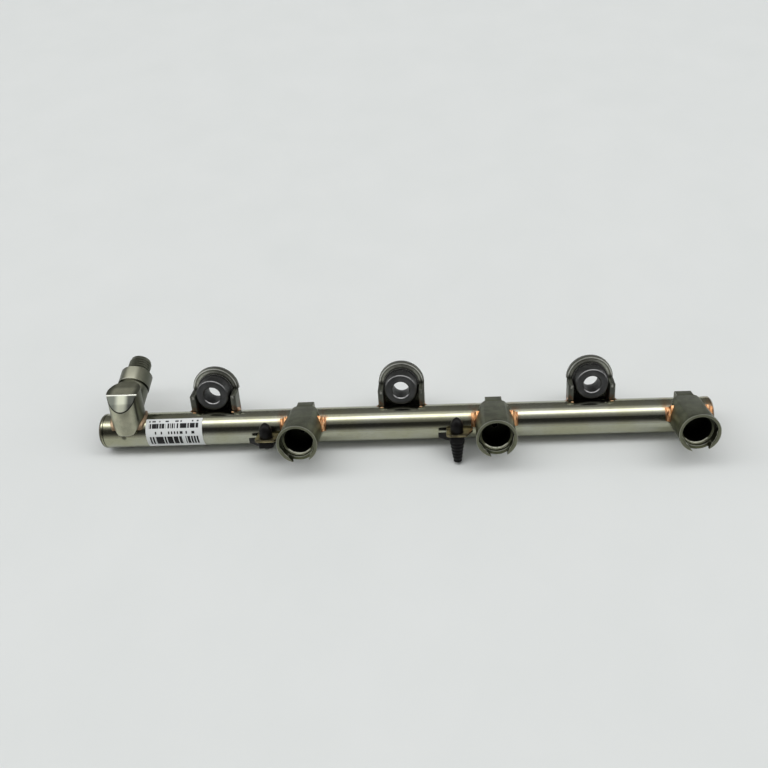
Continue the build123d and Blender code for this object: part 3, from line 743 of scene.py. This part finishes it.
# A painted highlight down the middle of the collar.
fitting_steel.paint(collar * bright_line * 0.9, COLLAR_HIGHLIGHT)
# Painted shade on the left of the collar.
fitting_steel.paint(collar * from_middle.step_down(*DARK_LEFT) * 0.85, COLLAR_SHADE)
print("the nipple leans", round(degrees(nipple_lean), 1), "degrees above the cup axes")

# %% [markdown]
# ## The slanted flat
# A slanted flat is milled across the front of the body. It gets a painted highlight down its
# middle and painted shade on its right. It could be a piece of its own with its own material,
# but it is part of a solid. A flat is where the distance from one plane is nearly nothing, so a
# point of the plane and its slope are all that the mask needs.

# %% The flat
RIDGE_S, RIDGE_H, FLAT_FALL = -6.4, 24.1, 1.49
FLAT, FLAT_SHADE, FLAT_HIGHLIGHT = (0.22, 0.235, 0.20), (0.10, 0.105, 0.092), (0.70, 0.72, 0.58)
SKIN, RIGHT_PART, MIDDLE_PART = (0.1, 0.4), (2.0, 4.5), (1.0, 4.2)

off_flat = abs((h - RIDGE_H) - (s - RIDGE_S) * FLAT_FALL) / (1 + FLAT_FALL**2) ** 0.5
flat = off_flat.step_down(*SKIN) * s.step_down(RIDGE_S - 0.2, RIDGE_S + 0.2)
fitting_steel.paint(flat, FLAT)
# Painted shade on the right of the flat.
fitting_steel.paint(flat * from_middle.step_up(*RIGHT_PART), FLAT_SHADE)
# A painted highlight down the middle of the flat.
fitting_steel.paint(flat * sideways.step_down(*MIDDLE_PART), FLAT_HIGHLIGHT)
print("the flat falls", round(degrees(atan2(FLAT_FALL, 1)), 1), "degrees from the ridge")

# %% [markdown]
# ## Edges of the inlet
# A black line is painted along the foot of the flat, and a dark one along the body's right-hand
# edge. The ridge on top gets a painted highlight, and the lip of the collar is painted bright,
# partly as wear and partly as painted highlight. The threaded end is oiled and dark. The shader's
# own edge mask treats all edges alike, so these few are painted on top of it.

# %% Foot of the flat, ridge, lip and end
body_r = half_width("inlet_fitting")
RIDGE_HIGHLIGHT, OILED_END = (0.75, 0.76, 0.68), (0.11, 0.115, 0.09)
RIGHT_EDGE, RIGHT_EDGE_UP = (6.8, 7.5), (9.0, 23.0)
FOOT_OFF_FLAT, FOOT_OFF_ROUND, FOOT_BACK = (0.12, 0.35), (0.1, 0.3), (-7.6, -6.8)
RIDGE_HALF, RIDGE_BELOW = (0.15, 0.45), (0.6, 1.2)
LIP_LENGTH, LIP_ACROSS = 0.5, (-3.5, 1.5)

right_edge = from_middle.band(*RIGHT_EDGE, 0.3) * h.band(*RIGHT_EDGE_UP, 1.5)
off_round = abs(distance(sideways, out) - body_r)
foot_line = off_flat.step_down(*FOOT_OFF_FLAT) * off_round.step_down(*FOOT_OFF_ROUND)
ridge = abs(s - RIDGE_S).step_down(*RIDGE_HALF) * (RIDGE_H - h).step_down(*RIDGE_BELOW)
lip = ahead.band(COLLAR_START, COLLAR_START + LIP_LENGTH, 0.15) * from_middle.band(*LIP_ACROSS, 0.8)
past_collar = ahead.step_up(COLLAR_END - 0.1, COLLAR_END + 0.3)
# A dark line painted along the body's right-hand edge.
fitting_steel.paint(right_edge * 0.8, GRIME_AND_SHADE)
# A black line painted along the foot of the flat.
fitting_steel.paint(foot_line * s.step_down(*FOOT_BACK), NEAR_BLACK)
# A painted highlight along the ridge.
fitting_steel.paint(ridge, RIDGE_HIGHLIGHT)
# The lip of the collar, worn and painted as highlight.
fitting_steel.paint(lip * 0.7, WEAR_AND_HIGHLIGHT)
fitting_steel.paint(past_collar * 0.85, OILED_END)
fitting_steel.done()
dress(["inlet_fitting"], fitting_steel, edge_mm=0.25, sharp=15)

# %% [markdown]
# ## Copper that ran into the joints
# Brazing copper freezes with a smooth skin. It is orange where it is thick, cream where it has
# pooled and brown where it is thin and has alloyed with the steel. The outer ends of the beads
# at the cups are browner, the bead round the inlet is greyer, and the copper under the brackets
# is painted paler, partly as a painted highlight on the drops. A picture could hold the swirls,
# but a noise that is twisted a little flows along every bead alike.

# %% Braze
ORANGE, CREAM, BROWN = (0.56, 0.27, 0.115), (0.70, 0.46, 0.26), (0.20, 0.095, 0.05)
INLET_BRAZE = (0.24, 0.19, 0.13)
BROWN_FROM_CUP, BROWN_FROM_INLET, BROWN_FROM_BOLT = (11.4, 12.8), (14.0, 16.0), (16.0, 18.0)
INLET_BEAD, PALE_FROM_BOLT = (12.0, 14.0), (11.4, 12.0)

copper = Finish("copper_braze", ORANGE, Metallic=1.0)
flow = copper.noise(1.1, detail=3.0, stretch=(1.6, 0.4, 0.4), twist=0.6)
from_bolt, from_inlet = copper.beside(bolt_x), copper.beside([inlet_x])
outer = copper.beside(cup_x).step_up(*BROWN_FROM_CUP) * from_inlet.step_up(*BROWN_FROM_INLET)
copper.paint(flow.step_up(0.50, 0.64), CREAM)
copper.paint(flow.step_down(0.38, 0.49), BROWN)
copper.paint(outer * from_bolt.step_up(*BROWN_FROM_BOLT) * 0.75, BROWN)
copper.paint(from_inlet.step_down(*INLET_BEAD) * 0.85, INLET_BRAZE)
# Paler copper near the bolts, partly a painted highlight on the drops.
copper.paint(from_bolt.step_down(*PALE_FROM_BOLT) * 0.6, CREAM)
copper.paint(open_air(copper, reach_mm=0.9).step_down(0.45, 0.85) * 0.8, BROWN)
copper.roughness = 0.27 + 0.2 * flow
copper.bump(flow, depth_mm=0.12)
copper.done()
beads = numbered("braze_cup", 3) + numbered("braze_bracket", 3) + ["braze_inlet"]
dress(beads, copper, edge_mm=0)

# %% [markdown]
# ## Making a new piece
# The thread and the drops of copper aren't in the engineering model. Each is a row of rings of
# points, so one helper joins every ring to the next and closes both ends, and another makes the
# mesh and lets it ride with the rail. Curves with a bevel would be another way, but their rings
# can't swell and shrink unevenly.


# %% Rings to a mesh
def join_rings(rings, count):
    """Faces that join each ring of count points to the next, and close both ends."""
    faces = []
    for i in range(rings - 1):
        a, b = i * count, (i + 1) * count
        faces += [(a + j, b + j, b + (j + 1) % count, a + (j + 1) % count) for j in range(count)]
    last = (rings - 1) * count
    faces.append(tuple(range(count)))
    faces.append(tuple(last + j for j in reversed(range(count))))
    return faces


def make_piece(name, points, faces, finish, slot):
    """A smooth mesh that rides with the rail."""
    mesh = bpy.data.meshes.new(name)
    mesh.from_pydata(points, [], faces)
    mesh.polygons.foreach_set("use_smooth", [True] * len(faces))
    mesh.update()
    piece = bpy.data.objects.new(name, mesh)
    bpy.context.scene.collection.objects.link(piece)
    mesh.materials.append(finish.material)
    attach(piece, "root")
    print(name, "has", len(points), "points")
    return piece


print("faces of three joined squares:", len(join_rings(3, 4)))

# %% [markdown]
# ## Drops of copper
# At the front of each bracket flange some copper has run out on the tube and frozen as a low
# lumpy drop. A flattened ball would look too neat. So each ring of the drop swells and shrinks
# with two waves round it, one of two lobes and one of three, which are turned differently from
# drop to drop.

# %% Six drops
DROP_SPOKES, DROP_RINGS = 20, 6
DROP_WIDE, DROP_TALL, DROP_SINK = 1.0, 0.42, 0.04
DROP_FROM_BOLT, DROP_UP = 10.6, radians(87)
TWO_LOBES, THREE_LOBES, ROUNDNESS, TURN = 0.14, 0.08, 0.7, 1.3


def drop(x_mm, turn):
    """Points and faces of one drop. The angle round the tube starts at its front."""
    points = []
    for ring in range(1, DROP_RINGS + 1):
        outward = ring / DROP_RINGS
        lift = DROP_TALL * (1 - outward * outward) ** ROUNDNESS - DROP_SINK
        for spoke in range(DROP_SPOKES):
            a = 2 * pi * spoke / DROP_SPOKES
            waves = TWO_LOBES * cos(2 * a + turn) + THREE_LOBES * cos(3 * a - turn)
            size = outward * (1 + waves)
            round_tube = DROP_UP + size * sin(a) * DROP_WIDE / (2000 * tube_radius)
            normal = -back * cos(round_tube) + upright * sin(round_tube)
            shift = along * (x_mm + size * cos(a) * DROP_WIDE) / 1000
            points.append(tube_axis + shift + normal * (tube_radius + lift / 1000))
    return points, join_rings(DROP_RINGS, DROP_SPOKES)


for i, centre in enumerate(bolt_x, 1):
    for side, place in ((-1, "left"), (1, "right")):
        shape = drop(centre + side * DROP_FROM_BOLT, TURN * i + side)
        make_piece(f"braze_drop_{i}_{place}", *shape, copper, "copper_braze")

# %% [markdown]
# ## The harness clips
# The clips are moulded in black nylon, which is dull and a little uneven. Black plastic easily
# turns grey in a bright room, because its skin mirrors the light. So the skin's reflection is
# turned down on the shader's own socket, and a fine noise roughens what is left.

# %% Nylon
BLACK, FADED_BLACK = (0.003, 0.003, 0.003), (0.010, 0.009, 0.009)

nylon = Finish("black_nylon", BLACK, Specular_IOR_Level=0.12)
skin = nylon.noise(0.5, detail=3.0)
nylon.paint(nylon.noise(4.0, detail=3.0), FADED_BLACK)
nylon.roughness = 0.3 + 0.15 * skin
nylon.bump(skin, depth_mm=0.02)
nylon.done()
dress(numbered("harness_clip", 2), nylon, edge_mm=0.15)

# %% [markdown]
# ## The label
# A white paper label is wrapped round the tube. It could carry an image, but it needs only rows
# of plain bars. The angle round the tube tells a row, and the place along the tube is cut into
# narrow columns. A random number for each column says whether it is inked. The numbers come from
# the column's place, so they are the same every time.

# %% Paper and ink
label_left, label_right = reach("label")[0]
PAPER, INK = (0.71, 0.73, 0.72), (0.012, 0.012, 0.012)
MARGIN_LEFT, MARGIN_RIGHT = 1.6, 2.0
ROWS = [  # width of a bar in mm, share of columns inked, lowest and highest degrees
    (0.45, 0.66, 55.0, 71.0),
    (0.5, 0.7, -2.0, 28.0),
    (0.8, 0.4, 36.0, 45.0),
    (0.9, 0.35, 76.0, 81.0),
]

paper = Finish("label_paper", PAPER, Specular_IOR_Level=0.2)
x, s, h = paper.place
above_level = h.angle_over(-s) * degrees(1.0) + tipped


def printed(bar_mm, share, low, high):
    """A row of upright bars, between two angles above level."""
    column = (x / bar_mm).whole()
    pick = paper.node("ShaderNodeTexWhiteNoise", {"noise_dimensions": "1D"}, {"W": column})
    return pick.step_down(share - 0.02, share + 0.02) * above_level.band(low, high, 1.0)


inner = x.band(label_left + MARGIN_LEFT, label_right - MARGIN_RIGHT, 0.1)
paper.paint(sum(printed(*row) for row in ROWS) * inner, INK)
paper.roughness = 0.5 + 0.1 * paper.noise(0.8, detail=3.0)
paper.done()
dress(["label"], paper, edge_mm=0)

# %% [markdown]
# ## The thread on the inlet
# The solid stops at the root of the thread. A ridge that climbs round it by 1.5 millimetres a
# turn makes the rest. A bump in the material would look flat against the light, so the ridge is
# swept as a mesh: a small profile of four points is set down at each step round the helix. It
# starts and stops a little within the nipple's ends, and shrinks into the root there over half a
# turn, as a cut thread runs out. Its sizes are in metres, as a mesh's points are.

# %% Cut the thread
nipple_root = nipple["dims"]["r_mm"] / 1000
nipple_length = nipple["dims"]["length_mm"] / 1000
nipple_start = Vector(nipple["pos_m"]) - nipple_axis * nipple_length / 2
THREAD_PITCH, THREAD_CREST, THREAD_SINK = 0.0015, 0.0059, 0.0001
THREAD_STEPS = 40
THREAD_STARTS, THREAD_STOPS, THREAD_FADE = 0.6, 0.7, 2.0
THREAD_PROFILE = [(-0.46, 0.0), (-0.1, 1.0), (0.1, 1.0), (0.46, 0.0)]


def thread_ridge():
    """Points and faces of the ridge. A profile point is a share of the pitch and the height."""
    over = nipple_axis.cross(along)
    first = THREAD_PITCH * THREAD_STARTS
    last = nipple_length - THREAD_PITCH * THREAD_STOPS
    count = int((last - first) / THREAD_PITCH * THREAD_STEPS)
    base = nipple_root - THREAD_SINK
    points = []
    for i in range(count + 1):
        turn = 2 * pi * i / THREAD_STEPS
        from_an_end = min(i, count - i) / THREAD_STEPS
        fade = min(1.0, THREAD_FADE * from_an_end)
        centre = nipple_start + nipple_axis * (first + THREAD_PITCH * i / THREAD_STEPS)
        outward = along * cos(turn) + over * sin(turn)
        for offset, lift in THREAD_PROFILE:
            height = base + (THREAD_CREST - base) * lift * fade
            points.append(centre + nipple_axis * offset * THREAD_PITCH + outward * height)
    return points, join_rings(count + 1, len(THREAD_PROFILE))


thread = make_piece("inlet_thread", *thread_ridge(), fitting_steel, "fitting_steel")
split_shading(thread, sharp=30)

# %% [markdown]
# ## The bench
# The rail lies on a plain pale bench. One large face is enough. A very faint unevenness keeps it
# from looking like paper.

# %% Bench
BENCH_HALF_M = 2
BENCH_DULL, BENCH_PALE = (0.71, 0.734, 0.724), (0.75, 0.769, 0.761)

corners = [(x * BENCH_HALF_M, y * BENCH_HALF_M, 0) for x, y in ((-1, -1), (1, -1), (1, 1), (-1, 1))]
bench_mesh = bpy.data.meshes.new("bench")
bench_mesh.from_pydata(corners, [], [(0, 1, 2, 3)])
bench = bpy.data.objects.new("bench", bench_mesh)
bpy.context.scene.collection.objects.link(bench)

pale_bench = Finish("pale_bench", BENCH_DULL, Specular_IOR_Level=0.15)
grey = pale_bench.noise(40.0, detail=3.0)
pale_bench.paint(grey, BENCH_PALE)
pale_bench.roughness = 0.6 + 0.1 * grey
pale_bench.done()
bench_mesh.materials.append(pale_bench.material)

# %% [markdown]
# ## Soft light
# Polished steel shows its surroundings, so they matter more than any lamp. Large lamps could
# light the rail, but they would show in the tube as squares. So the room itself shines: a ramp
# over the angle from the front, up and over to the back gives each strip of it a brightness. It
# is dim in front and brightest overhead, which draws the bright line along the tube and the dark
# band under it. To the left and the right the room is an even pale grey, apart from overhead.

# %% The room
SKY = [  # degrees from the front, up and over, and brightness
    (0, 0.58), (6, 0.5), (16, 0.27), (24, 0.08), (34, 0.03), (55, 0.03),
    (63, 0.12), (69, 0.34), (76, 0.7), (82, 1.3), (87, 3.9), (100, 3.9),
    (104, 0.8), (107, 0.6), (112, 0.95), (117, 0.6), (124, 0.25), (180, 0.16),
]
OVERHEAD = (70, 112)
SIDE_LIGHT = (0.7, 0.7, 0.7)

world = bpy.data.worlds.new("studio")
bpy.context.scene.world = world
world.use_nodes = True
room = Recipe(world.node_tree, "ShaderNodeBackground", "ShaderNodeOutputWorld")
way = room.node("ShaderNodeTexCoord", output="Generated")
sideways, toward_back, height = (
    room.node("ShaderNodeSeparateXYZ", None, {0: way}, axis) for axis in "XYZ"
)
half_turns = height.angle_over(-toward_back) / pi
stops = [(angle / 180, (glow, glow, glow)) for angle, glow in SKY]
strips = room.node("ShaderNodeValToRGB", {"stops": stops}, {"Fac": half_turns})
overhead = half_turns.band(OVERHEAD[0] / 180, OVERHEAD[1] / 180, 0.02)
side = abs(sideways).step_up(0.5, 0.75) * (1 - overhead)
room.shade(Color=room.mix(side, strips, SIDE_LIGHT))
print("strips of light:", len(SKY), "and the brightest:", max(glow for angle, glow in SKY))

# %% [markdown]
# ## Camera
# The view looks down on the rail from the front. The lens is a little off the middle of the
# frame, which the camera's shift takes care of. The camera could be aimed by a constraint, but
# it also leans a little, so its three directions are worked out from three angles in radians.
# Its place is in metres from the point of the bench that is under the tube at the middle cup.

# %% Camera
CAMERA_FROM_RAIL = (-0.020791, -0.251147, 0.340126)
YAW, PITCH, ROLL = -0.048, 0.880, 0.067
FRAME_PX, FOCAL_PX, CENTRE_PX = 768, 757.663, (431.554, 390.752)
SENSOR_MM = 36.0

looking = Vector((sin(YAW) * cos(PITCH), cos(YAW) * cos(PITCH), -sin(PITCH)))
level_right = Vector((cos(YAW), -sin(YAW), 0))
level_down = looking.cross(level_right)
view_right = level_right * cos(ROLL) + level_down * sin(ROLL)
view_down = level_down * cos(ROLL) - level_right * sin(ROLL)
under_tube = Vector((box_of("injector_cup_2")[2].x, tube_middle.y, 0))
pose = Matrix((view_right, -view_down, -looking)).transposed().to_4x4()
pose.translation = under_tube + Vector(CAMERA_FROM_RAIL)
camera_data = bpy.data.cameras.new("camera")
camera_data.sensor_width = SENSOR_MM
camera_data.lens = FOCAL_PX * SENSOR_MM / FRAME_PX
camera_data.shift_x = (FRAME_PX / 2 - CENTRE_PX[0]) / FRAME_PX
camera_data.shift_y = (CENTRE_PX[1] - FRAME_PX / 2) / FRAME_PX
camera = bpy.data.objects.new("camera", camera_data)
camera.matrix_world = pose
bpy.context.scene.collection.objects.link(camera)
bpy.context.scene.camera = camera
bpy.context.scene.view_settings.view_transform = "Standard"
print("lens in mm:", round(camera_data.lens, 1))

# %% [markdown]
# ## The size
# Dressing the rail must not change its size. It could be measured by eye, but boxes are exact.
